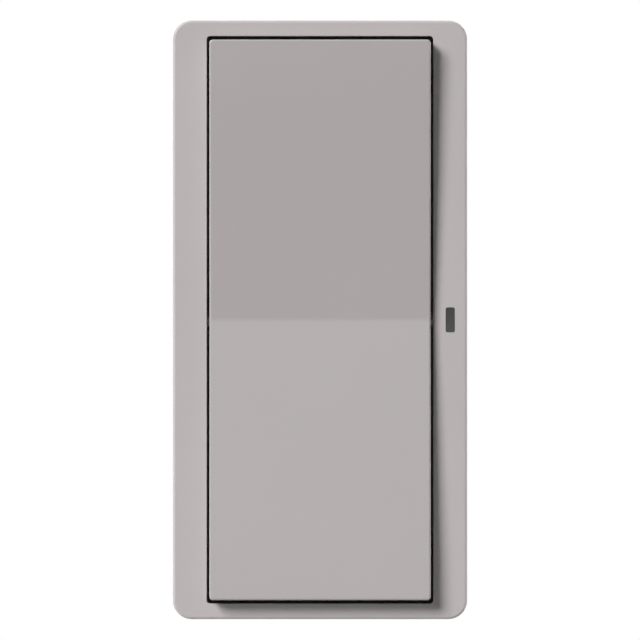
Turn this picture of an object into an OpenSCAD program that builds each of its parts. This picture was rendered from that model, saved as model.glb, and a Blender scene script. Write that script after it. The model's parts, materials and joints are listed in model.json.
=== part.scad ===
// Wireless switch remote: a tall rocking paddle in a rounded face frame, over a coin-cell radio board.
// Pieces are drawn lying on their backs, with x across, y up the wall and z out from the wall,
// and the centre of the rear face at the origin. upright() then stands them up, facing -Y.

/* [Face frame] */
// Width of the face frame
body_w = 32.7; // [32.4:0.1:42]
// Height of the face frame
body_h = 66.5; // [65:0.1:90]
// Corner radius of the face frame, seen from the front
corner_r = 2.1; // [1.8:0.1:3]
// Round along the frame's outer front edge
frame_edge_r = 0.3; // [0.2:0.05:0.8]
// Thickness of the frame's face
face_t = 1.5; // [1.2:0.1:1.8]
// Thickness of the frame's side walls
skirt_t = 1.1; // [0.9:0.05:1.3]
// Width of the frame's border beside the paddle
side_border = 3.78; // [3.7:0.01:4.6]
// Width of the frame's border above and below the paddle
end_border = 1.74; // [1.5:0.01:3]
// Corner radius of the paddle opening
opening_r = 0.4; // [0.2:0.05:1]
// Bevel along the front edge of the paddle opening
opening_bevel = 0.05; // [0.03:0.01:0.25]

/* [Paddle] */
// How far the paddle's two ends stand out from the frame
rise_end = 2; // [1.2:0.05:2.6]
// How far the crease at the paddle's middle stands out from the frame
rise_mid = 0.95; // [0.6:0.05:1.1]
// Radius of the soft crease where the paddle's two halves meet
crease_r = 10; // [2:0.5:20]
// Thickness of the paddle's face
paddle_t = 1.4; // [1:0.05:1.6]
// Thickness of the paddle's side and end walls
paddle_wall = 1.2; // [0.9:0.05:1.5]
// How far the paddle's walls reach in behind the frame's front face
wall_reach = 1.3; // [1:0.05:1.6]
// Round along the edges of the paddle's face
paddle_edge_r = 0.2; // [0.1:0.05:0.6]
// Corner radius of the paddle, seen from the front
paddle_corner_r = 0.4; // [0.2:0.05:1]
// Gap between the paddle and the frame's long sides
side_gap = 0.3; // [0.2:0.01:0.4]
// Gap between the paddle's ends and the frame
end_gap = 0.45; // [0.28:0.01:0.55]
// Radius of the two trunnions that the paddle rocks on
trunnion_r = 0.9; // [0.7:0.05:1]
// Running clearance round a trunnion
trunnion_fit = 0.05; // [0.02:0.01:0.1]
// Angle that the paddle rocks each way
rock_deg = 1.2; // [0.8:0.1:1.3]
// Thickness of the ribs behind the paddle's face
rib_t = 0.8; // [0.6:0.05:1.2]
// Height of those ribs
rib_h = 0.9; // [0.5:0.05:1.2]

/* [Indicator] */
// Width of the indicator window
window_w = 1.02; // [0.8:0.02:1.2]
// Height of the indicator window
window_h = 2.77; // [2:0.01:3]
// Corner radius of the indicator window
window_r = 0.2; // [0.1:0.05:0.4]

/* [Rear housing] */
// Depth of the rear housing that shows behind the frame
split_z = 3; // [2.9:0.1:3.4]
// How far the rear housing is set in from the frame's outline
housing_inset = 0.5; // [0.3:0.05:0.7]
// Round along the housing's rear edge
housing_edge_r = 0.4; // [0.2:0.05:0.6]
// Thickness of the rear housing's floor
floor_t = 1.2; // [1:0.05:1.5]
// Thickness of the lip that slips into the frame
lip_t = 0.9; // [0.7:0.05:1.1]
// Clearance between the lip and the frame
lip_fit = 0.1; // [0.05:0.01:0.2]
// Length of each bracket groove in the housing's long sides
groove_l = 10; // [6:0.5:14]
// Width of a bracket groove
groove_w = 1; // [0.7:0.05:1.2]
// Depth of a bracket groove
groove_d = 0.8; // [0.4:0.05:1]
// Distance of a bracket groove's middle from mid-height
groove_y = 14; // [10:0.5:17]

/* [Screws] */
// Radius of a housing screw's shank
screw_r = 0.7; // [0.6:0.05:0.75]
// Radius of a screw's head
screw_head_r = 1.35; // [1.2:0.05:1.4]
// Height of a screw's head
screw_head_t = 0.8; // [0.6:0.05:1]
// Radius of the frame's screw bosses
boss_r = 1.3; // [1.2:0.05:1.4]
// Distance from a screw to the frame's nearest end
screw_end = 7.2; // [6:0.1:9]

/* [Battery] */
// Diameter of the coin cell
cell_d = 20; // [16:0.1:23]
// Thickness of the coin cell
cell_t = 3.2; // [2.5:0.1:3.6]
// Clearance round the cell in its bay
cell_fit = 0.3; // [0.2:0.05:0.4]
// Distance from the cell's middle to the frame's lower end
cell_end = 16.5; // [15.5:0.1:20]
// Gap between the door and the cell
cell_gap = 0.15; // [0.1:0.01:0.3]
// Thickness of the round battery door
door_t = 1; // [0.9:0.05:1.3]
// How far the door covers the rim round the cell's bay
door_cover = 0.6; // [0.4:0.05:0.9]
// Running clearance round the door
door_fit = 0.1; // [0.05:0.01:0.15]
// How far the door's bayonet lugs stand out from its edge
bayonet_out = 0.8; // [0.5:0.05:0.9]
// Angle that each bayonet lug spans
bayonet_deg = 28; // [20:1:30]
// Angle that the door turns through before it lifts out
door_turn_deg = 35; // [34:1:45]
// Thickness of the ledges that the lugs turn in behind
ledge_t = 0.4; // [0.3:0.05:0.45]
// Length of the coin slot across the door
slot_l = 12; // [8:0.5:14]
// Width of the coin slot
slot_w = 1.8; // [1.2:0.1:2.4]
// Depth of the coin slot
slot_d = 0.5; // [0.3:0.05:0.6]

/* [Circuit board] */
// Thickness of the circuit board
board_t = 0.8; // [0.6:0.1:1]
// Room for the contact spring between the cell and the board
contact_room = 0.45; // [0.4:0.05:0.7]
// Clearance round the board's edge
board_fit = 0.25; // [0.15:0.05:0.4]
// Distance from the board's front to the frame's front face
front_room = 4; // [3.8:0.05:4.6]
// Thickness of the stamped metal of the battery contacts
contact_t = 0.2; // [0.15:0.01:0.25]
// Width of the leaf that presses on the cell's face
leaf_w = 4; // [2:0.1:5]
// Width of the clip that presses on the cell's rim
clip_w = 6; // [4:0.1:8]
// Side length of the radio chip
chip_w = 5; // [4:0.1:6]
// Height of the radio chip
chip_h = 0.85; // [0.6:0.05:1]
// Length of the crystal's can
crystal_l = 3.2; // [2:0.1:5]
// Width of the crystal's can
crystal_w = 2.5; // [1.6:0.1:3.2]
// Distance between neighbours in the rows of small chip parts
chip_pitch = 1.6; // [1:0.1:2]

/* [Antenna] */
// Radius of the antenna's wire
wire_r = 0.35; // [0.2:0.05:0.4]
// Width of the antenna's loop
loop_w = 15; // [12:0.5:20]
// Length of the antenna's loop
loop_l = 4.4; // [3.5:0.1:6]
// Height of the loop's wire over the board
loop_rise = 1.4; // [1.2:0.1:1.8]
// Distance from the loop to the board's upper end
loop_end = 4.3; // [2:0.1:6]

/* [Switches] */
// Distance from the paddle's pivot to each switch
switch_y = 18; // [16:0.5:20]
// Side length of a switch's square body
switch_w = 6; // [5.6:0.1:6.4]
// Height of a switch's body
switch_h = 1.9; // [1.8:0.05:2]
// Thickness of a switch's pressed cover
cover_t = 0.25; // [0.2:0.01:0.3]
// How far a switch's legs reach out from its body
leg_out = 1.1; // [0.8:0.1:1.4]
// Radius of a switch's plunger
plunger_r = 1.75; // [1.6:0.05:1.8]
// How far the plunger's top stands out of the cover with the paddle level
plunger_out = 0.75; // [0.7:0.05:0.85]
// Gap between the plunger's top and the paddle's boss
plunger_gap = 0.05; // [0.03:0.01:0.1]
// Wire diameter of a return spring
spring_wire = 0.25; // [0.2:0.01:0.28]
// Number of turns in a return spring
spring_turns = 3; // [2:0.5:4]

/* [Hidden] */
$fn = 64;

// Colours
frame_grey = [0.72, 0.70, 0.70];
paddle_grey = [0.67, 0.65, 0.65];
lens_grey = [0.25, 0.25, 0.25];
board_green = [0.10, 0.35, 0.22];
chip_black = [0.10, 0.10, 0.11];
steel = [0.75, 0.75, 0.76];
copper = [0.80, 0.50, 0.32];
ceramic = [0.72, 0.62, 0.48];
led_white = [0.92, 0.92, 0.86];
switch_black = [0.14, 0.14, 0.15];

// Longer than any piece, for cuts that run right through
past = 200;
// Overlap of joined shapes
bite = 0.1;

// Sides that the paired pieces are made for
upper = 1;
lower = -1;

// The stack from the rear face outwards
cell_z = door_t + cell_gap;
cell_top = cell_z + cell_t;
board_z = cell_top + contact_room;
board_front = board_z + board_t;
frame_front = board_front + front_room;
face_back = frame_front - face_t;
wall_end_z = frame_front - wall_reach;

// The frame and its opening
opening_w = body_w - 2 * side_border;
opening_h = body_h - 2 * end_border;
inner_w = body_w - 2 * skirt_t;
inner_h = body_h - 2 * skirt_t;
inner_r = corner_r - skirt_t;
window_x = body_w / 2 - side_border / 2;
lens_fit = 0.03;
lens_wall = 0.25;
lens_sink = 0.05;
lens_gap = 0.3;
lens_flange = 0.6;
flange_fit = 0.02;
rest_w = 1.1;
rest_l = 1.6;
rest_past = 4;
mid_rest_l = 3;
rest_gap = 0.05;

// The paddle, its pivot and its stops
paddle_w = opening_w - 2 * side_gap;
paddle_h = opening_h - 2 * end_gap;
mid_z = frame_front + rise_mid;
tilt = atan((rise_end - rise_mid) / (paddle_h / 2));
crease_sink = 0.0005;
crease_inset = 0.01;
lug_wall = 0.15;
lug_gap = 0.3;
lug_r = trunnion_r + lug_wall;
pivot_z = board_front + lug_gap + lug_r;
stop_inset = 1.05;
stop_w = 1.2;
stop_l = 1.6;
stop_gap = 0.05;
stop_x = paddle_w / 2 - paddle_wall - stop_inset;
stop_y = paddle_h / 2 - paddle_wall - stop_inset;
stop_z = board_front + stop_y * sin(rock_deg) + stop_gap;
press_r = 1.5;
press_tip_r = 4;
cradle_t = (side_border - window_w) / 2 - lens_wall;
cradle_wall = 1.1;
cradle_gap = 0.2;
cradle_half = trunnion_r + cradle_wall;
cradle_z = board_front + cradle_gap;
throat_half = 0.83 * trunnion_r;
trunnion_tip = 0.15;
trunnion_end_gap = 0.1;

// The rear housing, the cell's bay and the battery door
housing_w = body_w - 2 * housing_inset;
housing_h = body_h - 2 * housing_inset;
housing_r = corner_r - housing_inset;
lip_gap = 0.05;
lip_w = inner_w - 2 * lip_fit;
lip_h = inner_h - 2 * lip_fit;
lip_r = inner_r - lip_fit;
lip_top = board_z - lip_gap;
room_w = lip_w - 2 * lip_t;
room_h = lip_h - 2 * lip_t;
room_r = 0.6;
cell_y = cell_end - body_h / 2;
cell_edge = 1.2;
cell_step = 0.5;
bay_r = cell_d / 2 + cell_fit;
bay_wall = 1;
bay_top = board_z - 0.4;
door_r = bay_r + door_cover;
door_edge = 0.15;
recess_top = door_t + 0.05;
groove_end_r = door_r + bayonet_out + door_fit;
rim_r = groove_end_r + 0.9;
rim_top = recess_top + 0.9;
play_deg = 2;
rib_clear = 1;
floor_rib_h = 1;
groove_z = 1;

// The screws and the bosses that take them
screw_seat_z = 1.3;
counterbore_r = screw_head_r + 0.15;
counterbore_wall = 0.4;
head_edge = 0.3;
shank_fit = 0.1;
thread_fit = 0.02;
pilot_past = 0.2;
screw_x = housing_w / 2 - counterbore_r - 0.45;
screw_y = body_h / 2 - screw_end;
screw_end_z = face_back - 0.7;
pillar_r = lip_w / 2 - screw_x;
cross_l = 1.5;
cross_w = 0.28;
cross_d = 0.45;
web_t = 1.2;

// The board and the small parts that stand on it
board_w = inner_w - 2 * board_fit;
board_h = inner_h - 2 * board_fit;
board_r = max(inner_r - board_fit, 0.3);
boss_room = 0.3;
leaf_back = 8;
leaf_front = 4;
leaf_foot = 2;
leaf_gap = 0.02;
leaf_lift = 0.12;
clip_foot = 2;
clip_gap = 0.05;
clip_room = 0.4;
clip_lift = 0.2;
chip_x = -5;
chip_y = 5.5;
mark_r = 0.3;
mark_in = 0.8;
mark_d = 0.1;
crystal_gap = 2.1;
crystal_h = 0.7;
crystal_r = 0.4;
led_w = 0.8;
led_l = 1.6;
led_h = 0.6;
row_y = -4.5;
capacitor_x = -9.5;
capacitor_h = 0.5;
resistor_x = 2;
resistor_h = 0.35;
small_w = 0.5;
small_l = 1;
bend_r = 1;
foot_y = board_h / 2 - loop_end - loop_l;

// The switches, from the board outwards
plunger_top = board_front + switch_h + cover_t + plunger_out;
dome_gap = 0.5;
dome_z = board_front + dome_gap;
dome_h = 0.4;
dome_t = 0.1;
flange_gap = 0.25;
flange_z = dome_z + dome_h + flange_gap;
flange_t = 0.3;
flange_r = plunger_r + 0.3;
flange_room = 0.2;
plunger_fit = 0.05;
plunger_face_t = 0.5;
spring_r = 0.8;
spring_fit = 0.15;
spring_gap = 0.02;
leg_w = 0.7;
leg_t = 0.2;
leg_y = 2.1;
leg_top = 0.8;
tab_w = 2.4;
tab_l = 0.9;

// Stands a piece up, so that its front faces -Y
module upright() {
    rotate([90, 0, 0]) children();
}

// Flat rectangle with rounded corners
module round_rect(w, h, r) {
    square([w - 2 * r, h], center = true);
    square([w, h - 2 * r], center = true);
    for (x = [-1, 1], y = [-1, 1]) {
        translate([x * (w / 2 - r), y * (h / 2 - r)]) circle(r = r);
    }
}

// Flat upright section, t high, whose two upper corners are rounded
module crowned_section(w, t, edge) {
    translate([-w / 2, 0]) square([w, t - edge]);
    translate([edge - w / 2, 0]) square([w - 2 * edge, t]);
    for (x = [-1, 1]) {
        translate([x * (w / 2 - edge), t - edge]) circle(r = edge);
    }
}

// Block with rounded corners, seen from the front, and a rounded front edge
module crowned_block(w, h, r, t, edge) {
    rotate([90, 0, 0]) linear_extrude(h - 2 * r, center = true) crowned_section(w, t, edge);
    rotate([90, 0, 90]) linear_extrude(w - 2 * r, center = true) crowned_section(h, t, edge);
    for (x = [-1, 1], y = [-1, 1]) {
        translate([x * (w / 2 - r), y * (h / 2 - r), 0]) rotate_extrude() intersection() {
            crowned_section(2 * r, t, edge);
            square([2 * r, 2 * t]);
        }
    }
}

// The two slanted planes of the paddle's face, as a solid below them, lowered by drop
module below_v(w, drop, bottom) {
    half = paddle_h;
    rise = half * tan(tilt);
    top = mid_z - drop;
    rotate([90, 0, 90]) linear_extrude(w, center = true) polygon([
        [-half, bottom], [half, bottom], [half, top + rise], [0, top], [-half, top + rise],
    ]);
}

// Upper half of the paddle, square to its slanted face, from just past the middle outwards
module paddle_half(deep) {
    long = paddle_h / 2 / cos(tilt);
    translate([0, 0, mid_z]) rotate([tilt, 0, 0]) translate([0, 0, -deep]) intersection() {
        crowned_block(paddle_w, 2 * long, paddle_corner_r, deep, paddle_edge_r);
        translate([-paddle_w, -1, -1]) cube([2 * paddle_w, 2 * long, deep + 2]);
    }
}

// Soft crease between the paddle's halves: their section, bent round an axis in front of it.
// It is let into them a little, so that the surfaces cross and don't just touch.
module paddle_crease(deep) {
    translate([0, 0, mid_z + crease_r / cos(tilt) - crease_sink]) rotate([0, 90, 0]) rotate([0, 0, -tilt])
        rotate_extrude(angle = 2 * tilt) translate([crease_r + deep, 0]) rotate([0, 0, 90])
        crowned_section(paddle_w - 2 * crease_inset, deep, paddle_edge_r);
}

// The paddle's outside: its two halves and the crease between them, down to the ends of its walls
module paddle_block() {
    deep = 2 * (mid_z - wall_end_z);
    intersection() {
        translate([-past / 2, -past / 2, wall_end_z]) cube(past);
        union() {
            paddle_half(deep);
            rotate([0, 0, 180]) paddle_half(deep);
            paddle_crease(deep);
        }
    }
}

// What hangs from the back of the paddle's face
module paddle_ribs() {
    for (x = [-1, 1]) {
        translate([x * paddle_w / 4 - rib_t / 2, -stop_y, wall_end_z]) cube([rib_t, 2 * stop_y, past]);
    }
    for (y = [-1, 1]) {
        translate([-paddle_w / 2 + bite, y * switch_y / 2 - rib_t / 2, wall_end_z])
            cube([paddle_w - 2 * bite, rib_t, past]);
        translate([-paddle_w / 2 + bite, y * (switch_y + switch_w) - rib_t / 2, wall_end_z])
            cube([paddle_w - 2 * bite, rib_t, past]);
    }
}

// Boss that presses a plunger, with a domed tip
module paddle_boss() {
    translate([0, 0, plunger_top + plunger_gap]) intersection() {
        cylinder(r = press_r, h = past);
        union() {
            translate([0, 0, press_tip_r]) sphere(r = press_tip_r);
            translate([0, 0, press_tip_r]) cylinder(r = press_r, h = past);
        }
    }
}

// Lug and trunnion at one side of the paddle
module paddle_lug() {
    straight = bite + side_gap + cradle_t - trunnion_end_gap - trunnion_tip;
    translate([paddle_w / 2 - paddle_wall, 0, 0]) rotate([90, 0, 90]) linear_extrude(paddle_wall) union() {
        translate([0, pivot_z]) circle(r = lug_r);
        translate([-lug_r, pivot_z]) square([2 * lug_r, wall_end_z + bite - pivot_z]);
    }
    translate([paddle_w / 2 - bite, 0, pivot_z]) rotate([0, 90, 0]) union() {
        cylinder(r = trunnion_r, h = straight);
        translate([0, 0, straight])
            cylinder(r1 = trunnion_r, r2 = trunnion_r - trunnion_tip, h = trunnion_tip);
    }
}

module paddle() {
    color(paddle_grey) upright() union() {
        difference() {
            paddle_block();
            intersection() {
                below_v(paddle_w - 2 * paddle_wall, paddle_t, 0);
                linear_extrude(past)
                    square([paddle_w - 2 * paddle_wall, paddle_h - 2 * paddle_wall], center = true);
            }
        }
        intersection() {
            paddle_ribs();
            difference() {
                below_v(paddle_w, paddle_t / 2, 0);
                below_v(past, paddle_t + rib_h, -1);
            }
        }
        intersection() {
            union() {
                for (y = [-1, 1]) {
                    translate([0, y * switch_y, 0]) paddle_boss();
                    for (x = [-1, 1]) {
                        translate([x * stop_x - stop_w / 2, y * stop_y - stop_l / 2, stop_z])
                            cube([stop_w, stop_l, past]);
                    }
                }
            }
            below_v(paddle_w, paddle_t / 2, 0);
        }
        paddle_lug();
        rotate([0, 0, 180]) paddle_lug();
    }
}

// Cradle that a trunnion snaps into from behind
module trunnion_cradle() {
    translate([opening_w / 2, 0, 0]) rotate([90, 0, 90]) linear_extrude(cradle_t) difference() {
        translate([-cradle_half, cradle_z]) square([2 * cradle_half, face_back + bite - cradle_z]);
        translate([0, pivot_z]) circle(r = trunnion_r + trunnion_fit);
        translate([-throat_half, 0]) square([2 * throat_half, pivot_z]);
    }
}

// Post that takes a housing screw, with a web to the side wall
module frame_boss() {
    boss_z = lip_top + lip_gap;
    boss_h = face_back + bite - boss_z;
    difference() {
        translate([0, 0, boss_z]) union() {
            cylinder(r = boss_r, h = boss_h);
            translate([0, -web_t / 2, 0]) cube([inner_w / 2 + bite - screw_x, web_t, boss_h]);
        }
        cylinder(r = screw_r + thread_fit, h = screw_end_z + pilot_past);
    }
}

// Posts that the circuit board rests against
module board_rests() {
    rest_z = board_front + rest_gap;
    rest_x = inner_w / 2 + bite - rest_w;
    for (turn = [0, 180], y = [-1, 1]) {
        rotate([0, 0, turn]) {
            translate([rest_x, y * (screw_y + rest_past) - rest_l / 2, rest_z])
                cube([rest_w, rest_l, face_back + bite - rest_z]);
            translate([rest_x, y * switch_y / 2 - mid_rest_l / 2, rest_z])
                cube([rest_w, mid_rest_l, face_back + bite - rest_z]);
        }
    }
}

module front_frame() {
    color(frame_grey) upright() union() {
        difference() {
            translate([0, 0, split_z])
                crowned_block(body_w, body_h, corner_r, frame_front - split_z, frame_edge_r);
            translate([0, 0, split_z - 1])
                linear_extrude(face_back - split_z + 1) round_rect(inner_w, inner_h, inner_r);
            linear_extrude(past) round_rect(opening_w, opening_h, opening_r);
            translate([0, 0, frame_front - opening_bevel]) opening_bevel_cut();
            translate([window_x, 0, 0]) linear_extrude(past) round_rect(window_w, window_h, window_r);
        }
        trunnion_cradle();
        rotate([0, 0, 180]) trunnion_cradle();
        for (turn = [0, 180], y = [-1, 1]) {
            rotate([0, 0, turn]) translate([screw_x, y * screw_y, 0]) frame_boss();
        }
        board_rests();
    }
}

// Four wedges that bevel the front edge of the opening
module opening_bevel_cut() {
    for (side = [[opening_w, opening_h, 0], [opening_h, opening_w, 90]]) {
        rotate([0, 0, side[2]]) rotate([90, 0, 0]) linear_extrude(side[1] - 2 * opening_r, center = true)
            polygon([
                [-side[0] / 2, 0], [side[0] / 2, 0],
                [side[0] / 2 + 2 * opening_bevel, 2 * opening_bevel],
                [-side[0] / 2 - 2 * opening_bevel, 2 * opening_bevel],
            ]);
    }
    for (x = [-1, 1], y = [-1, 1]) {
        translate([x * (opening_w / 2 - opening_r), y * (opening_h / 2 - opening_r), 0])
            cylinder(r1 = opening_r, r2 = opening_r + 2 * opening_bevel, h = 2 * opening_bevel);
    }
}

module indicator_lens() {
    lens_z = board_front + led_h + lens_gap;
    color(lens_grey) upright() translate([window_x, 0, 0]) union() {
        translate([0, 0, lens_z]) linear_extrude(frame_front - lens_sink - lens_z)
            round_rect(window_w - 2 * lens_fit, window_h - 2 * lens_fit, window_r - lens_fit);
        translate([0, 0, face_back - lens_flange - flange_fit]) linear_extrude(lens_flange)
            square([window_w - 2 * lens_fit, window_h + 2 * lens_flange], center = true);
    }
}

// Pillar that a housing screw passes through
module screw_pillar() {
    cylinder(r = counterbore_r + counterbore_wall, h = split_z - bite);
    cylinder(r = pillar_r, h = lip_top);
}

// Part of a ring at the door's edge, as a bayonet lug or the room for one
module bayonet_arc(deg, low, high, fit) {
    rotate_extrude(angle = deg) translate([door_r - bite, low])
        square([bite + bayonet_out + fit, high - low]);
}

// Cuts for the cell's bay, the door's recess, and the bayonet grooves with their entries
module door_seat() {
    first = -door_turn_deg - play_deg;
    entry = bayonet_deg + 2 * play_deg;
    translate([0, 0, -1]) cylinder(r = bay_r, h = past);
    translate([0, 0, -1]) cylinder(r = door_r + door_fit, h = recess_top + 1);
    for (turn = [0 : 120 : 240]) {
        rotate([0, 0, turn + first]) {
            bayonet_arc(entry + door_turn_deg, ledge_t, recess_top, door_fit);
            bayonet_arc(entry, -1, recess_top, door_fit);
        }
    }
}

// The rear housing's outside: its base, rounded at the rear, and the lip that slips into the frame
module housing_outside() {
    translate([0, 0, split_z]) rotate([180, 0, 0])
        crowned_block(housing_w, housing_h, housing_r, split_z, housing_edge_r);
    translate([0, 0, split_z / 2]) linear_extrude(lip_top - split_z / 2) round_rect(lip_w, lip_h, lip_r);
}

// Ribs that stiffen the floor above the battery bay
module floor_ribs() {
    low = cell_y + rim_r + rib_clear;
    high = room_h / 2;
    for (x = [-1, 0, 1]) {
        translate([x * room_w / 4 - rib_t / 2, low, floor_t - bite])
            cube([rib_t, high - low + bite, floor_rib_h + bite]);
    }
    for (i = [0 : 2]) {
        translate([-room_w / 2 - bite, low + i * (high - low) / 3, floor_t - bite])
            cube([room_w + 2 * bite, rib_t, floor_rib_h + bite]);
    }
}

// Groove in the housing's right side for a bracket's clip rail
module bracket_groove() {
    translate([housing_w / 2 - groove_d, -groove_l / 2, groove_z])
        cube([groove_d + 1, groove_l, groove_w]);
}

module rear_housing() {
    pocket_w = clip_w + 2 * clip_room;
    color(frame_grey) upright() difference() {
        intersection() {
            housing_outside();
            union() {
                difference() {
                    linear_extrude(lip_top) square([body_w, body_h], center = true);
                    translate([0, 0, floor_t]) linear_extrude(past) round_rect(room_w, room_h, room_r);
                }
                translate([0, cell_y, 0]) cylinder(r = rim_r, h = rim_top);
                translate([0, cell_y, 0]) cylinder(r = bay_r + bay_wall, h = bay_top);
                floor_ribs();
                for (x = [-1, 1], y = [-1, 1]) {
                    translate([x * screw_x, y * screw_y, 0]) screw_pillar();
                }
            }
        }
        translate([0, cell_y, 0]) door_seat();
        translate([-pocket_w / 2, cell_y - bay_r - bay_wall - bite, rim_top])
            cube([pocket_w, bay_r, past]);
        for (x = [-1, 1], y = [-1, 1]) {
            translate([x * screw_x, y * screw_y, -1]) cylinder(r = counterbore_r, h = screw_seat_z + 1);
            translate([x * screw_x, y * screw_y, -1]) cylinder(r = screw_r + shank_fit, h = past);
        }
        for (turn = [0, 180], y = [-1, 1]) {
            rotate([0, 0, turn]) translate([0, y * groove_y, 0]) bracket_groove();
        }
    }
}

// Round door, turned by a coin in its slot, with three bayonet lugs
module battery_door() {
    color(frame_grey) upright() translate([0, cell_y, 0]) difference() {
        union() {
            cylinder(r1 = door_r - door_edge, r2 = door_r, h = door_edge);
            translate([0, 0, door_edge]) cylinder(r = door_r, h = door_t - door_edge);
            for (turn = [0 : 120 : 240]) {
                rotate([0, 0, turn]) bayonet_arc(bayonet_deg, ledge_t + door_fit, door_t, 0);
            }
        }
        translate([0, 0, -1]) linear_extrude(slot_d + 1) union() {
            square([slot_l - slot_w, slot_w], center = true);
            for (x = [-1, 1]) {
                translate([x * (slot_l - slot_w) / 2, 0]) circle(d = slot_w);
            }
        }
    }
}

// Pan-head screw pointing out from the wall, with its seat at the origin
module housing_screw() {
    shank_l = screw_end_z - screw_seat_z;
    half = screw_head_t / 2;
    difference() {
        union() {
            translate([0, 0, -half]) cylinder(r = screw_head_r, h = half);
            translate([0, 0, -2 * half])
                cylinder(r1 = screw_head_r - head_edge, r2 = screw_head_r, h = half);
            translate([0, 0, -bite]) cylinder(r = screw_r, h = shank_l + bite);
        }
        for (turn = [0, 90]) {
            rotate([0, 0, turn]) translate([-cross_l / 2, -cross_w / 2, -screw_head_t - 1])
                cube([cross_l, cross_w, cross_d + 1]);
        }
    }
}

module housing_screws() {
    color(steel) upright() for (x = [-1, 1], y = [-1, 1]) {
        translate([x * screw_x, y * screw_y, screw_seat_z]) housing_screw();
    }
}

module circuit_board() {
    color(board_green) upright() translate([0, 0, board_z]) linear_extrude(board_t) difference() {
        round_rect(board_w, board_h, board_r);
        for (x = [-1, 1], y = [-1, 1]) {
            translate([x * screw_x, y * screw_y]) circle(r = boss_r + boss_room);
            translate([x * (screw_x + board_w / 2), y * screw_y])
                square([board_w, 2 * (boss_r + boss_room)], center = true);
        }
    }
}

module coin_cell() {
    color(steel) upright() translate([0, cell_y, cell_z]) union() {
        cylinder(d = cell_d, h = cell_t - cell_step);
        cylinder(d = cell_d - 2 * cell_edge, h = cell_t);
    }
}

// Stamped leaf under the board that presses on the cell's face
module battery_contact_negative() {
    low = cell_top + leaf_gap;
    high = board_z - contact_t;
    press = leaf_w * 0.375;
    under = [
        [-leaf_back, high], [leaf_foot - leaf_back, high], [-press, low], [press, low],
        [leaf_front, low + leaf_lift],
    ];
    over = [for (i = [len(under) - 1 : -1 : 0]) [under[i][0], under[i][1] + contact_t]];
    color(steel) upright() translate([0, cell_y, 0]) rotate([90, 0, 90])
        linear_extrude(leaf_w, center = true) polygon(concat(under, over));
}

// Stamped blade below the cell that presses on its rim
module battery_clip_positive() {
    clip_y = cell_d / 2 + clip_gap;
    clip_z = rim_top + clip_lift;
    color(steel) upright() translate([0, cell_y, 0]) rotate([90, 0, -90])
        linear_extrude(clip_w, center = true) polygon([
            [clip_y, board_z], [clip_y, clip_z], [clip_y + contact_t, clip_z],
            [clip_y + contact_t, board_z - contact_t], [clip_y + contact_t + clip_foot, board_z - contact_t],
            [clip_y + contact_t + clip_foot, board_z],
        ]);
}

// Flat radio chip with a small dimple at its first corner
module radio_chip() {
    dimple = mark_in - chip_w / 2;
    color(chip_black) upright() translate([chip_x, chip_y, board_front]) difference() {
        translate([-chip_w / 2, -chip_w / 2, 0]) cube([chip_w, chip_w, chip_h]);
        translate([dimple, -dimple, chip_h - mark_d]) cylinder(r = mark_r, h = 1);
    }
}

module crystal() {
    crystal_x = chip_x + chip_w / 2 + crystal_gap + crystal_l / 2;
    color(steel) upright() translate([crystal_x, chip_y, board_front]) linear_extrude(crystal_h)
        round_rect(crystal_l, crystal_w, crystal_r);
}

// Light chip behind the indicator window: its base and the emitter on it
module indicator_led() {
    color(led_white) upright() translate([window_x, 0, board_front]) union() {
        translate([-led_w / 2, -led_l / 2, 0]) cube([led_w, led_l, led_h / 2]);
        translate([-led_w / 2, -led_l / 3, 0]) cube([led_w, led_l * 2 / 3, led_h]);
    }
}

// Quarter bend of the antenna's wire, in the plane that faces out
module wire_bend() {
    rotate_extrude(angle = 90) translate([bend_r, 0]) circle(r = wire_r);
}

// Formed wire on the board: two feet, two rising bends and a flat loop
module antenna() {
    color(copper) upright() translate([0, foot_y, board_front]) {
        for (x = [-1, 1]) {
            translate([x * loop_w / 2, 0, 0]) {
                cylinder(r = wire_r, h = loop_rise - bend_r);
                translate([0, bend_r, loop_rise - bend_r]) rotate([90, 0, -90]) wire_bend();
                translate([0, bend_r, loop_rise]) rotate([-90, 0, 0])
                    cylinder(r = wire_r, h = loop_l - 2 * bend_r);
            }
        }
        translate([loop_w / 2 - bend_r, loop_l - bend_r, loop_rise]) wire_bend();
        translate([bend_r - loop_w / 2, loop_l - bend_r, loop_rise]) rotate([0, 0, 90]) wire_bend();
        translate([bend_r - loop_w / 2, loop_l, loop_rise]) rotate([0, 90, 0])
            cylinder(r = wire_r, h = loop_w - 2 * bend_r);
    }
}

// Row of small chip parts on the board
module chip_row(count, first_x, height) {
    for (i = [0 : count - 1]) {
        translate([first_x + i * chip_pitch, row_y, board_front]) cube([small_w, small_l, height]);
    }
}

module chip_capacitors() {
    color(ceramic) upright() chip_row(6, capacitor_x, capacitor_h);
}

module chip_resistors() {
    color(chip_black) upright() chip_row(5, resistor_x, resistor_h);
}

// Moulded base of a switch
module switch_body(side) {
    color(switch_black) upright() translate([0, side * switch_y, board_front]) difference() {
        translate([-switch_w / 2, -switch_w / 2, 0]) cube([switch_w, switch_w, switch_h]);
        translate([0, 0, dome_gap]) cylinder(r = flange_r + flange_room, h = switch_h);
    }
}

// Four gull-wing legs of a switch
module switch_terminals(side) {
    bend = leg_t + 0.05;
    color(steel) upright() translate([0, side * switch_y, board_front]) {
        for (turn = [0, 180], y = [-1, 1]) {
            rotate([0, 0, turn]) translate([switch_w / 2, y * leg_y, 0]) rotate([90, 0, 0])
                linear_extrude(leg_w, center = true) polygon([
                    [0, leg_top], [0, leg_top - leg_t], [bend, leg_top - leg_t], [bend, 0],
                    [leg_out, 0], [leg_out, leg_t], [bend + leg_t, leg_t], [bend + leg_t, leg_top],
                ]);
        }
    }
}

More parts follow.
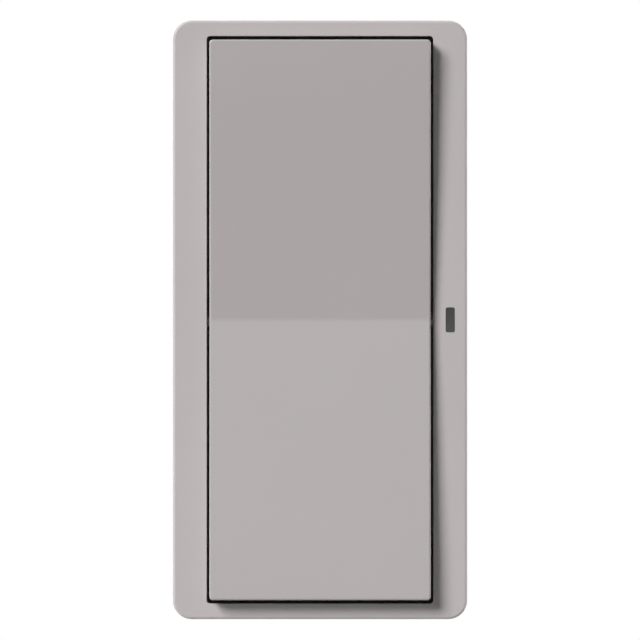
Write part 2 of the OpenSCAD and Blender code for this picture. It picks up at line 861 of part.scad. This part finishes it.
// Snap dome of a switch
module switch_dome(side) {
    middle_z = dome_h * 0.6;
    color(steel) upright() translate([0, side * switch_y, dome_z]) rotate_extrude() polygon([
        [0, dome_h - dome_t], [flange_r * 0.45, middle_z - dome_t / 4], [flange_r - dome_t, 0],
        [flange_r, 0], [flange_r / 2, middle_z + dome_t * 3 / 4], [0, dome_h],
    ]);
}

// Plunger of a switch: a cup with a flange that the cover holds in
module switch_plunger(side) {
    bore_r = spring_r + spring_wire / 2 + spring_fit;
    color(switch_black) upright() translate([0, side * switch_y, flange_z]) difference() {
        union() {
            cylinder(r = flange_r, h = flange_t);
            cylinder(r = plunger_r, h = plunger_top - flange_z);
        }
        translate([0, 0, -1]) cylinder(r = bore_r, h = plunger_top - flange_z - plunger_face_t + 1);
    }
}

// Pressed cover of a switch, with two tabs down its sides
module switch_cover(side) {
    color(steel) upright() translate([0, side * switch_y, board_front + switch_h]) difference() {
        union() {
            translate([-switch_w / 2, -switch_w / 2, 0]) cube([switch_w, switch_w, cover_t]);
            for (turn = [0, 180]) {
                rotate([0, 0, turn]) translate([-tab_w / 2, switch_w / 2, -tab_l])
                    cube([tab_w, cover_t, tab_l + cover_t]);
            }
        }
        translate([0, 0, -1]) cylinder(r = plunger_r + plunger_fit, h = 2);
    }
}

// Coil of round wire, computed point by point along its turns
function coil_point(i, j, steps, sides, low, high) =
    let (a = 360 * i / 16, b = 360 * j / sides)
    let (ring = spring_r + spring_wire / 2 * cos(b))
    [ring * cos(a), ring * sin(a), low + (high - low) * i / steps + spring_wire / 2 * sin(b)];

module return_spring(side) {
    sides = 6;
    steps = 16 * spring_turns;
    low = dome_z + dome_h + spring_gap + spring_wire / 2;
    high = plunger_top - plunger_face_t - spring_gap - spring_wire / 2;
    points = [for (i = [0 : steps], j = [0 : sides - 1]) coil_point(i, j, steps, sides, low, high)];
    walls = [for (i = [0 : steps - 1], j = [0 : sides - 1])
        let (k = (j + 1) % sides)
        [i * sides + j, i * sides + k, (i + 1) * sides + k, (i + 1) * sides + j]];
    caps = [[for (j = [sides - 1 : -1 : 0]) j], [for (j = [0 : sides - 1]) steps * sides + j]];
    color(steel) upright() translate([0, side * switch_y, 0]) polyhedron(points, concat(walls, caps));
}

front_frame();
paddle();
indicator_lens();
rear_housing();
battery_door();
housing_screws();
circuit_board();
coin_cell();
battery_clip_positive();
battery_contact_negative();
radio_chip();
crystal();
indicator_led();
antenna();
chip_capacitors();
chip_resistors();
switch_body(upper);  // upper_switch_body
switch_terminals(upper);  // upper_switch_terminals
switch_dome(upper);  // upper_switch_dome
return_spring(upper);  // upper_return_spring
switch_plunger(upper);  // upper_switch_plunger
switch_cover(upper);  // upper_switch_cover
switch_body(lower);  // lower_switch_body
switch_terminals(lower);  // lower_switch_terminals
switch_dome(lower);  // lower_switch_dome
return_spring(lower);  // lower_return_spring
switch_plunger(lower);  // lower_switch_plunger
switch_cover(lower);  // lower_switch_cover
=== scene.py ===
"""Looks of the wireless switch remote: finishes for every piece, a pale floor, soft studio light and the camera."""

import json
import math

import bmesh
import bpy
import numpy as np
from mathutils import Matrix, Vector


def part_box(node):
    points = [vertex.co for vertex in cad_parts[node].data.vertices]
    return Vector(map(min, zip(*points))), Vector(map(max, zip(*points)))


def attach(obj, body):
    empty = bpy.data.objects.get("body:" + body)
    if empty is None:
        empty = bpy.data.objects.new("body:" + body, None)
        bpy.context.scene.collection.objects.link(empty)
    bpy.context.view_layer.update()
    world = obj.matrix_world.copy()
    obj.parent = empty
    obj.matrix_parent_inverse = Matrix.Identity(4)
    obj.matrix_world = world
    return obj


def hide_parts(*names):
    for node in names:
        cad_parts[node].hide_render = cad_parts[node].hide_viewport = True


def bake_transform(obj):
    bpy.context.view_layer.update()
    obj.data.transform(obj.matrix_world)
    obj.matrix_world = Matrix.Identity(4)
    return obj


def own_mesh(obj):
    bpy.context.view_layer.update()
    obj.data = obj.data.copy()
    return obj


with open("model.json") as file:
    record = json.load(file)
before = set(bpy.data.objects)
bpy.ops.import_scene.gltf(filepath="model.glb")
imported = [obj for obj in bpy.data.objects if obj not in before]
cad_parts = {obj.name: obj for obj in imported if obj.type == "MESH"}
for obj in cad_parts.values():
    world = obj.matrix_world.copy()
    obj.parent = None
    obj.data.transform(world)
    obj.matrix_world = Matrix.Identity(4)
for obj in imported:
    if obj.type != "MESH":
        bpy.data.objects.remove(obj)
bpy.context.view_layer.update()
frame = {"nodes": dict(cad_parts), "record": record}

MM = 0.001

# The photograph: the frame's outline, in pixels of the 640 x 640 picture
PICTURE = 640
FRAME_TOP_PX = 20.45
FRAME_BOTTOM_PX = 619.3
FRAME_LEFT_PX = 172.8
FRAME_RIGHT_PX = 467.3
LENS = 500.0
SENSOR = 36.0

# The floor lies clear below the object and ends before the camera can see it
FLOOR_Z = -55 * MM
FLOOR_R = 500 * MM

# Direction of the key light, towards the light: left, front and up
KEY_LEFT = 0.57
KEY_FRONT = 0.65
KEY_UP = 0.52
KEY_DISTANCE = 3.0
KEY_SIZE = 1.28
KEY_LEVEL = 0.82

# White cards round the object, on its left, right and top: where each one stands, and its radiance
CARDS = {"left": ((-1, 0.4, 0), 1.6), "right": ((1, 0.33, 0), 5.8), "top": ((0, 0.45, 1), 0.9)}

# In a copied mesh, corners closer than JOIN are one corner, and edges that bend by more than CREASE stay sharp
JOIN = 0.001 * MM
CREASE = math.radians(65)

# The room: dim in front of the object, and white behind it, where its backdrop would be
FRONT_ROOM = 0.02
BACK_ROOM = 0.34
FRONT_GLOSS = 0.15


class Field:
    """A value that changes over a surface: one output socket, with its arithmetic done by Math nodes."""

    def __init__(self, paint, socket):
        self.paint = paint
        self.socket = socket

    def math(self, operation, first, second=0.0):
        return self.paint.node("ShaderNodeMath", {"operation": operation}, {0: first, 1: second})

    def __add__(self, other):
        return self.math("ADD", self, other)

    def __sub__(self, other):
        return self.math("SUBTRACT", self, other)

    def __rsub__(self, other):
        return self.math("SUBTRACT", other, self)

    def __mul__(self, other):
        return self.math("MULTIPLY", self, other)

    def __abs__(self):
        return self.math("ABSOLUTE", self)

    __radd__ = __add__
    __rmul__ = __mul__

    def over(self, low, high):
        """0 below low, 1 above high, and a smooth rise between them."""
        settings = {"interpolation_type": "SMOOTHSTEP"}
        return self.paint.node("ShaderNodeMapRange", settings, {"Value": self, "From Min": low, "From Max": high})


class Paint:
    """A finish being made: its material, and the nodes added to it one by one."""

    def __init__(self, name, tree=None):
        self.material = None
        if tree is None:
            self.material = bpy.data.materials.new(name)
            self.material.use_nodes = True
            tree = self.material.node_tree
        self.tree = tree

    def feed(self, socket, value):
        if isinstance(value, Field):
            self.tree.links.new(value.socket, socket)
        else:
            socket.default_value = value

    def node(self, kind, settings=None, inputs=None, output=0):
        """One node of that kind, with its settings made first and then its sockets fed."""
        made = self.tree.nodes.new(kind)
        for name, value in (settings or {}).items():
            setattr(made, name, value)
        for key, value in (inputs or {}).items():
            self.feed(made.inputs[key], value)
        return Field(self, made.outputs[output])

    def place(self, offset=(0, 0, 0), scale=(1, 1, 1)):
        """Object coordinates, in metres, moved by offset and stretched by scale."""
        where = self.node("ShaderNodeTexCoord", output="Object")
        return self.node("ShaderNodeMapping", {"vector_type": "POINT"},
                         {"Vector": where, "Location": offset, "Scale": scale})

    def noise(self, size, detail=2.0, rough=0.5, scale=(1, 1, 1)):
        """Cloudy noise from 0 to 1 whose patches are about size metres wide."""
        return self.node("ShaderNodeTexNoise", {"noise_dimensions": "3D"}, {
            "Vector": self.place(scale=scale), "Scale": 1 / size, "Detail": detail, "Roughness": rough})

    def blend(self, factor, first, second):
        """A colour between first and second."""
        return self.node("ShaderNodeMix", {"data_type": "RGBA"}, {0: factor, 6: first, 7: second}, output=2)

    def bump(self, height, distance, normal=None):
        """Small relief: height from 0 to 1 stands for 0 to distance metres."""
        inputs = {"Height": height, "Distance": distance, "Strength": 1.0}
        if normal is not None:
            inputs["Normal"] = normal
        return self.node("ShaderNodeBump", {}, inputs)

    def finish(self, **sockets):
        """Feeds the surface shader's sockets, named with _ for a space, and returns the material."""
        shader = self.tree.nodes["Principled BSDF"]
        for name, value in sockets.items():
            self.feed(shader.inputs[name.replace("_", " ")], value)
        return self.material


def rgb(red, green, blue):
    return (red, green, blue, 1.0)


def shade(colour, factor):
    """The colour made lighter or darker by a factor."""
    return (colour[0] * factor, colour[1] * factor, colour[2] * factor, 1.0)


def moulded(name, colour, roughness, grain=0.14 * MM, depth=0.002 * MM, drift=0.012, spread=0.04):
    """Moulded plastic: even colour with a faint drift, and the fine grain of the mould's surface."""
    paint = Paint(name)
    cloud = paint.noise(14 * MM, detail=3.0)
    fine = paint.noise(grain, detail=3.0, rough=0.6)
    tone = paint.blend(cloud.over(0.3, 0.7), shade(colour, 1 - drift), shade(colour, 1 + drift))
    rough = roughness + spread * (fine - 0.5) + spread * (cloud - 0.5)
    return paint.finish(Base_Color=tone, Roughness=rough, Normal=paint.bump(fine, depth))


def frame_plastic():
    """Satin warm grey, with a fine even grain."""
    return moulded("frame_plastic", rgb(0.495, 0.46, 0.46), 0.5)


def housing_plastic():
    """The frame's plastic with a coarser, more matt grain."""
    return moulded("housing_plastic", rgb(0.47, 0.44, 0.44), 0.58, grain=0.22 * MM, depth=0.004 * MM)


def paddle_plastic():
    """Glossier warm grey: polished, with the faint long waves of a thin moulding."""
    paint = Paint("paddle_plastic")
    cloud = paint.noise(16 * MM, detail=2.0)
    fine = paint.noise(0.1 * MM, detail=2.0)
    waves = paint.noise(7 * MM, detail=1.0)
    colour = rgb(0.449, 0.414, 0.414)
    tone = paint.blend(cloud.over(0.3, 0.7), shade(colour, 0.992), shade(colour, 1.008))
    rough = 0.13 + 0.02 * (fine - 0.5) + 0.015 * (cloud - 0.5)
    relief = paint.bump(fine, 0.00008 * MM, paint.bump(waves, 0.0015 * MM))
    return paint.finish(Base_Color=tone, Roughness=rough, Normal=relief, IOR=1.5)


def lens_plastic():
    """Smoky light pipe: dark, polished, with a little random haze inside, and painted shade that makes it darker
    towards its upper end.
    """
    paint = Paint("lens_plastic")
    low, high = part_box("indicator_lens")
    haze = paint.noise(0.5 * MM, detail=3.0)
    up = paint.node("ShaderNodeSeparateXYZ", {}, {0: paint.place()}, output=2)
    # Painted shade: 0 at the lower end of the light pipe, rising to 1 at its upper end.
    clear = paint.node("ShaderNodeMapRange", {}, {"Value": up, "From Min": low[2], "From Max": high[2]})
    depth = clear + 0.25 * (haze - 0.5)
    # Factor 0 gives the lighter tone and 1 the darker tone, so the painted shade darkens the upper end; the random
    # haze varies it a little.
    tone = paint.blend(depth, rgb(0.066, 0.066, 0.065), rgb(0.032, 0.032, 0.031))
    return paint.finish(Base_Color=tone, Roughness=0.22 + 0.05 * (haze - 0.5))


def plated(name, colour, roughness, streak=(1, 1, 1), grain=0.08 * MM, depth=0.0008 * MM):
    """Metal with a fine grain, drawn out along the axes where streak is small."""
    paint = Paint(name)
    fine = paint.noise(grain, detail=3.0, rough=0.6, scale=streak)
    cloud = paint.noise(2.5 * MM, detail=3.0)
    tone = paint.blend(cloud.over(0.3, 0.7), shade(colour, 0.93), shade(colour, 1.05))
    rough = roughness + 0.14 * (fine - 0.5) + 0.08 * (cloud - 0.5)
    return paint.finish(Base_Color=tone, Metallic=1.0, Roughness=rough, Normal=paint.bump(fine, depth))


def screw_steel():
    """Zinc-plated screws, slightly blue."""
    return plated("screw_steel", rgb(0.60, 0.61, 0.63), 0.3)


def cell_steel():
    """Nickel-plated cell, brushed across."""
    return plated("cell_steel", rgb(0.66, 0.65, 0.64), 0.28, streak=(1, 1, 0.04))


def contact_steel():
    """Tinned spring strip."""
    return plated("contact_steel", rgb(0.68, 0.68, 0.67), 0.26, streak=(0.1, 1, 1))


def crystal_can():
    """Drawn can of the crystal."""
    return plated("crystal_can", rgb(0.66, 0.66, 0.66), 0.24)


def spring_steel():
    """Bright spring wire."""
    return plated("spring_steel", rgb(0.56, 0.56, 0.57), 0.2)


def cover_steel():
    """Pressed cover of a switch, with the sheet's rolling marks."""
    return plated("cover_steel", rgb(0.64, 0.64, 0.64), 0.3, streak=(0.05, 1, 1))


def antenna_wire():
    """Bare copper wire, a little dulled."""
    return plated("antenna_wire", rgb(0.78, 0.42, 0.26), 0.34)


def board_laminate():
    """Dark green solder mask over a copper plane, with darker tracks etched through it in a loose grid."""
    paint = Paint("board_laminate")
    tracks = paint.node("ShaderNodeTexVoronoi", {"distance": "CHEBYCHEV", "feature": "DISTANCE_TO_EDGE"}, {
        "Vector": paint.place(), "Scale": 1 / (2.4 * MM), "Randomness": 0.6})
    weave = paint.noise(0.3 * MM, detail=2.0)
    edge = tracks.over(0.03, 0.07)
    tone = paint.blend(edge, rgb(0.006, 0.026, 0.012), rgb(0.01, 0.046, 0.02))
    relief = paint.bump(edge, 0.02 * MM, paint.bump(weave, 0.003 * MM))
    return paint.finish(Base_Color=tone, Roughness=0.3 + 0.08 * (weave - 0.5), Normal=relief)


def chip_plastic():
    """Black moulding compound of the radio chip."""
    return moulded("chip_plastic", rgb(0.02, 0.02, 0.022), 0.5, grain=0.06 * MM)


def switch_plastic():
    """Black base of the switches."""
    return moulded("switch_plastic", rgb(0.028, 0.028, 0.03), 0.45)


def plunger_plastic():
    """Dark grey plungers, smoother where the paddle rubs."""
    return moulded("plunger_plastic", rgb(0.11, 0.11, 0.115), 0.36)


def led_resin():
    """White base and clear resin of the light chip."""
    return moulded("led_resin", rgb(0.82, 0.81, 0.74), 0.2, depth=0.0005 * MM)


def chip_part(name, body):
    """Small chip part: its body colour between two tinned ends."""
    paint = Paint(name)
    lo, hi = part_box("chip_capacitors")
    middle = (lo[2] + hi[2]) / 2
    half = (hi[2] - lo[2]) / 2
    along = paint.node("ShaderNodeSeparateXYZ", {}, {0: paint.place(offset=(0, 0, -middle))}, output=2)
    tinned = abs(along).over(0.55 * half, 0.62 * half)
    grain = paint.noise(0.08 * MM)
    tone = paint.blend(tinned, body, rgb(0.66, 0.66, 0.65))
    return paint.finish(Base_Color=tone, Metallic=tinned, Roughness=0.4 + 0.1 * (grain - 0.5))


def capacitor_ceramic():
    return chip_part("capacitor_ceramic", rgb(0.42, 0.30, 0.18))


def resistor_film():
    return chip_part("resistor_film", rgb(0.02, 0.02, 0.02))


FINISHES = {
    "frame_plastic": frame_plastic, "paddle_plastic": paddle_plastic, "lens_plastic": lens_plastic,
    "housing_plastic": housing_plastic, "screw_steel": screw_steel, "board_laminate": board_laminate,
    "cell_steel": cell_steel, "contact_steel": contact_steel, "chip_plastic": chip_plastic,
    "crystal_can": crystal_can, "led_resin": led_resin, "antenna_wire": antenna_wire,
    "capacitor_ceramic": capacitor_ceramic, "resistor_film": resistor_film,
    "switch_plastic": switch_plastic, "spring_steel": spring_steel,
    "plunger_plastic": plunger_plastic, "cover_steel": cover_steel,
}


def dress_nodes():
    """Every CAD node takes the finish of its slot in the record."""
    made = {slot: make() for slot, make in FINISHES.items()}
    for part in frame["record"]["subparts"]:
        node = frame["nodes"][part["node"]]
        node.data.materials.clear()
        node.data.materials.append(made[part["material_slot"]])


def joined_copy(node):
    """A copy of a CAD piece with its triangles joined and shaded smooth, which takes that piece's place."""
    mesh = frame["nodes"][node].data.copy()
    joined = bmesh.new()
    joined.from_mesh(mesh)
    bmesh.ops.remove_doubles(joined, verts=joined.verts, dist=JOIN)
    joined.to_mesh(mesh)
    joined.free()
    old_normals = mesh.attributes.get("custom_normal")
    if old_normals is not None:
        mesh.attributes.remove(old_normals)
    mesh.shade_smooth()
    mesh.set_sharp_from_angle(angle=CREASE)
    piece = bpy.data.objects.new(node + "_flexing", mesh)
    bpy.context.scene.collection.objects.link(piece)
    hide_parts(node)
    return piece


def flex_springs():
    """Each return spring is replaced by a joined copy of itself, with its placement baked into its mesh."""
    for side in ("upper", "lower"):
        spring = joined_copy(side + "_return_spring")
        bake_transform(spring)


def flex_domes():
    """Each snap dome is replaced by a joined copy of itself, hung on the body with a mesh of its own."""
    for side in ("upper", "lower"):
        dome = joined_copy(side + "_switch_dome")
        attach(dome, "body")
        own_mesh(dome)


def light_path(paint):
    """1 or 0 for the kinds of ray that look at something: straight from the camera, mirrored, and through glass."""
    path = paint.node("ShaderNodeLightPath")
    return [Field(paint, path.socket.node.outputs[name])
            for name in ("Is Camera Ray", "Is Glossy Ray", "Is Transmission Ray")]


def looked_at(paint):
    """1 for every ray that looks at something, and 0 for light on its way."""
    straight, mirrored, through = light_path(paint)
    return straight.math("MAXIMUM", straight.math("MAXIMUM", straight, mirrored), through)


def floor_finish():
    """Pale floor that keeps shadows, turns into the white background towards its rim and throws little light up."""
    paint = Paint("floor")
    shader = paint.tree.nodes["Principled BSDF"]
    seen = looked_at(paint)
    paint.feed(shader.inputs["Base Color"], paint.blend(seen, rgb(0.2, 0.2, 0.2), rgb(0.86, 0.86, 0.86)))
    shader.inputs["Roughness"].default_value = 0.8
    where = paint.node("ShaderNodeTexCoord", output="Object")
    reach = paint.node("ShaderNodeVectorMath", {"operation": "LENGTH"}, {0: where}, output="Value")
    white = paint.node("ShaderNodeEmission", {}, {"Color": rgb(1, 1, 1), "Strength": seen})
    mixed = paint.node("ShaderNodeMixShader", {}, {
        0: reach.over(0.35 * FLOOR_R, 0.95 * FLOOR_R), 1: Field(paint, shader.outputs[0]), 2: white})
    paint.feed(paint.tree.nodes["Material Output"].inputs["Surface"], mixed)
    return paint.material


def make_floor():
    """Flat disc: points on a grid of rings and spokes, radius from 0 to FLOOR_R, all at FLOOR_Z."""
    rings, spokes = 24, 96
    radius, angle = np.meshgrid(np.linspace(0, FLOOR_R, rings), np.linspace(0, 2 * math.pi, spokes, endpoint=False),
                                indexing="ij")
    points = np.stack([radius * np.cos(angle), radius * np.sin(angle), np.full_like(radius, FLOOR_Z)], axis=-1)
    ring, spoke = np.meshgrid(np.arange(rings - 1), np.arange(spokes), indexing="ij")
    after = (spoke + 1) % spokes
    faces = np.stack([ring * spokes + spoke, (ring + 1) * spokes + spoke,
                      (ring + 1) * spokes + after, ring * spokes + after], axis=-1)
    mesh = bpy.data.meshes.new("floor")
    mesh.from_pydata(points.reshape(-1, 3).tolist(), [], faces.reshape(-1, 4).tolist())
    mesh.materials.append(floor_finish())
    floor = bpy.data.objects.new("floor", mesh)
    bpy.context.scene.collection.objects.link(floor)


def panel(name, towards, distance, width, height, radiance):
    """Area light that faces the object from a direction, hidden from the camera, of that plain radiance."""
    light = bpy.data.lights.new(name, "AREA")
    light.shape = "RECTANGLE"
    light.size = width
    light.size_y = height
    light.energy = math.pi * width * height * radiance
    lamp = bpy.data.objects.new(name, light)
    direction = Vector(towards).normalized()
    lamp.location = direction * distance
    lamp.rotation_mode = "QUATERNION"
    lamp.rotation_quaternion = direction.to_track_quat("Z", "Y")
    lamp.visible_camera = False
    bpy.context.scene.collection.objects.link(lamp)
    return lamp


def make_lights():
    """Key from the upper left, a bright strip above the camera for the paddle's gloss, and a soft light behind."""
    key_solid = KEY_SIZE ** 2 / KEY_DISTANCE ** 2
    key_radiance = KEY_LEVEL * math.pi / (key_solid * KEY_FRONT)
    panel("key", (-KEY_LEFT, -KEY_FRONT, KEY_UP), KEY_DISTANCE, KEY_SIZE, KEY_SIZE, key_radiance)
    panel("fill", (0.75, -0.6, 0.1), 2.0, 0.8, 0.8, 0.6)
    strip = panel("gloss_strip", (0, -1, 0), 1.5, 0.36, 0.2, 1.45)
    strip.location.z = 0.1
    for side, (towards, level) in CARDS.items():
        panel(side + "_card", towards, 1.5, 1.2, 1.2, level)
    under = panel("under_card", (0, 0, -1), 0.05, 0.3, 0.05, 0.9)
    under.location.y = 0.016
    panel("back", (0.5, 0.8, 0.45), KEY_DISTANCE, KEY_SIZE, KEY_SIZE, key_radiance * 0.12)


def make_world():
    """White where the camera or a reflection looks; for light, dim in front of the object and bright behind it."""
    world = bpy.data.worlds.new("studio")
    world.use_nodes = True
    bpy.context.scene.world = world
    paint = Paint("studio", world.node_tree)
    direction = paint.node("ShaderNodeTexCoord", output="Generated")
    behind = paint.node("ShaderNodeSeparateXYZ", {}, {0: direction}, output=1).over(-0.3, 0.2)
    straight, mirrored, through = light_path(paint)
    seen = straight.math("MAXIMUM", straight, through)
    room = FRONT_ROOM + (BACK_ROOM - FRONT_ROOM) * behind
    backdrop = FRONT_GLOSS + (1 - FRONT_GLOSS) * behind
    strength = room + (backdrop - room) * mirrored
    background = world.node_tree.nodes["Background"]
    paint.feed(background.inputs["Strength"], strength + (1 - strength) * seen)
    background.inputs["Color"].default_value = rgb(1, 1, 1)


def make_camera():
    """Long lens, square to the frame, placed so that the frame spans the same pixels as in the photograph."""
    low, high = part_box("front_frame")
    pixel = (high[2] - low[2]) / (FRAME_BOTTOM_PX - FRAME_TOP_PX)
    distance = pixel * PICTURE * LENS / SENSOR
    camera_data = bpy.data.cameras.new("camera")
    camera_data.lens = LENS
    camera_data.sensor_width = SENSOR
    camera = bpy.data.objects.new("camera", camera_data)
    middle_x = (PICTURE / 2 - (FRAME_LEFT_PX + FRAME_RIGHT_PX) / 2) * pixel
    middle_z = ((FRAME_TOP_PX + FRAME_BOTTOM_PX) / 2 - PICTURE / 2) * pixel
    camera.location = (middle_x, low[1] - distance, middle_z)
    camera.rotation_euler = (math.pi / 2, 0, 0)
    camera_data.clip_start = 0.05
    camera_data.clip_end = 20
    bpy.context.scene.collection.objects.link(camera)
    bpy.context.scene.camera = camera


def main():
    bpy.context.scene.view_settings.view_transform = "Standard"
    dress_nodes()
    flex_springs()
    flex_domes()
    make_floor()
    make_world()
    make_lights()
    make_camera()


main()
